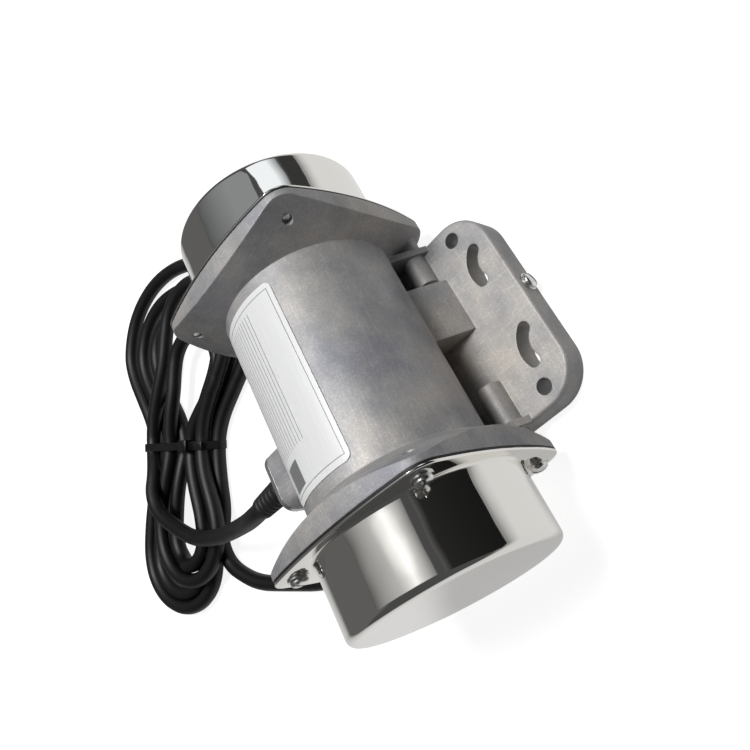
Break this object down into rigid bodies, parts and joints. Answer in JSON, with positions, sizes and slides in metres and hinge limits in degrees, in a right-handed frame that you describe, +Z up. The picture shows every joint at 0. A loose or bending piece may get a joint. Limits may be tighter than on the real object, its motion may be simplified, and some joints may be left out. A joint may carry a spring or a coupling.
{
  "type": "external vibration motor",
  "caption": "Foot-mounted electric vibration motor with adjustable out-of-balance weights under drawn end caps and a coiled supply cord.",
  "frame": {"origin": "middle of the foot's lower mounting face", "axes": "+X along the shaft towards the cable-entry end, +Z up from the foot, +Y towards the earth-screw side"},
  "size_m": [0.2741, 0.3111, 0.094],
  "materials": {
    "cast_body": "bead-blasted casting, satin",
    "polished_cap": "mirror-polished stainless sheet",
    "zinc_fastener": "bright zinc-plated steel",
    "plate": "plain sheet, matt",
    "gasket_rubber": "black rubber",
    "bearing_steel": "ground steel",
    "machined_steel": "turned steel",
    "weight_steel": "plain steel plate",
    "lamination_steel": "stacked sheet steel",
    "copper_winding": "varnished copper wire",
    "cage_aluminium": "die-cast",
    "wire_insulation": "plain insulation",
    "conductor": "bare stranded copper",
    "cord_sheath": "black rubber sheath, dull",
    "tie_plastic": "black nylon"
  },
  "bodies": {
    "housing": {"cable_bush": "gasket_rubber", "cable_clamp": "plate", "cable_clamp_screws": "zinc_fastener", "cable_tie": "tie_plastic", "cord_cores": "conductor", "cord_hank": "cord_sheath", "cord_lead": "cord_sheath", "cord_tail": "cord_sheath", "earth_screw": "zinc_fastener", "earth_washer": "zinc_fastener", "front_bearing_outer_ring": "bearing_steel", "front_bearing_seals": "gasket_rubber", "front_bearing_shield": "cast_body", "front_cap": "polished_cap", "front_cap_gasket": "gasket_rubber", "front_cap_screws": "zinc_fastener", "front_cap_washers": "zinc_fastener", "front_shield_screws": "zinc_fastener", "lead_wires": "wire_insulation", "motor_housing": "cast_body", "nameplate": "plate", "rear_bearing_outer_ring": "bearing_steel", "rear_bearing_seals": "gasket_rubber", "rear_bearing_shield": "cast_body", "rear_cap": "polished_cap", "rear_cap_gasket": "gasket_rubber", "rear_cap_screws": "zinc_fastener", "rear_cap_washers": "zinc_fastener", "rear_shield_screws": "zinc_fastener", "stator_core": "lamination_steel", "stator_winding": "copper_winding"},
    "rotor": {"shaft": "machined_steel", "rotor_core": "lamination_steel", "rotor_cage": "cage_aluminium", "front_bearing_inner_ring": "bearing_steel", "front_spacer": "machined_steel", "front_fixed_weight": "weight_steel", "front_key": "machined_steel", "front_circlip": "machined_steel", "rear_bearing_inner_ring": "bearing_steel", "rear_spacer": "machined_steel", "rear_fixed_weight": "weight_steel", "rear_key": "machined_steel", "rear_circlip": "machined_steel"},
    "front_adjustable": {"front_adjustable_weight": "weight_steel", "front_grub_screw": "machined_steel"},
    "rear_adjustable": {"rear_adjustable_weight": "weight_steel", "rear_grub_screw": "machined_steel"}
  },
  "joints": [
    {"name": "rotor_spin", "type": "hinge", "parent": "housing", "child": "rotor", "pos_m": [0, 0, 0.0475], "axis": [1, 0, 0], "continuous": true},
    {"name": "front_weight_adjust", "type": "hinge", "parent": "rotor", "child": "front_adjustable", "pos_m": [0.0744, 0, 0.0475], "axis": [1, 0, 0], "range_deg": [0, 180]},
    {"name": "rear_weight_adjust", "type": "hinge", "parent": "rotor", "child": "rear_adjustable", "pos_m": [-0.0744, 0, 0.0475], "axis": [1, 0, 0], "range_deg": [0, 180]}
  ]
}
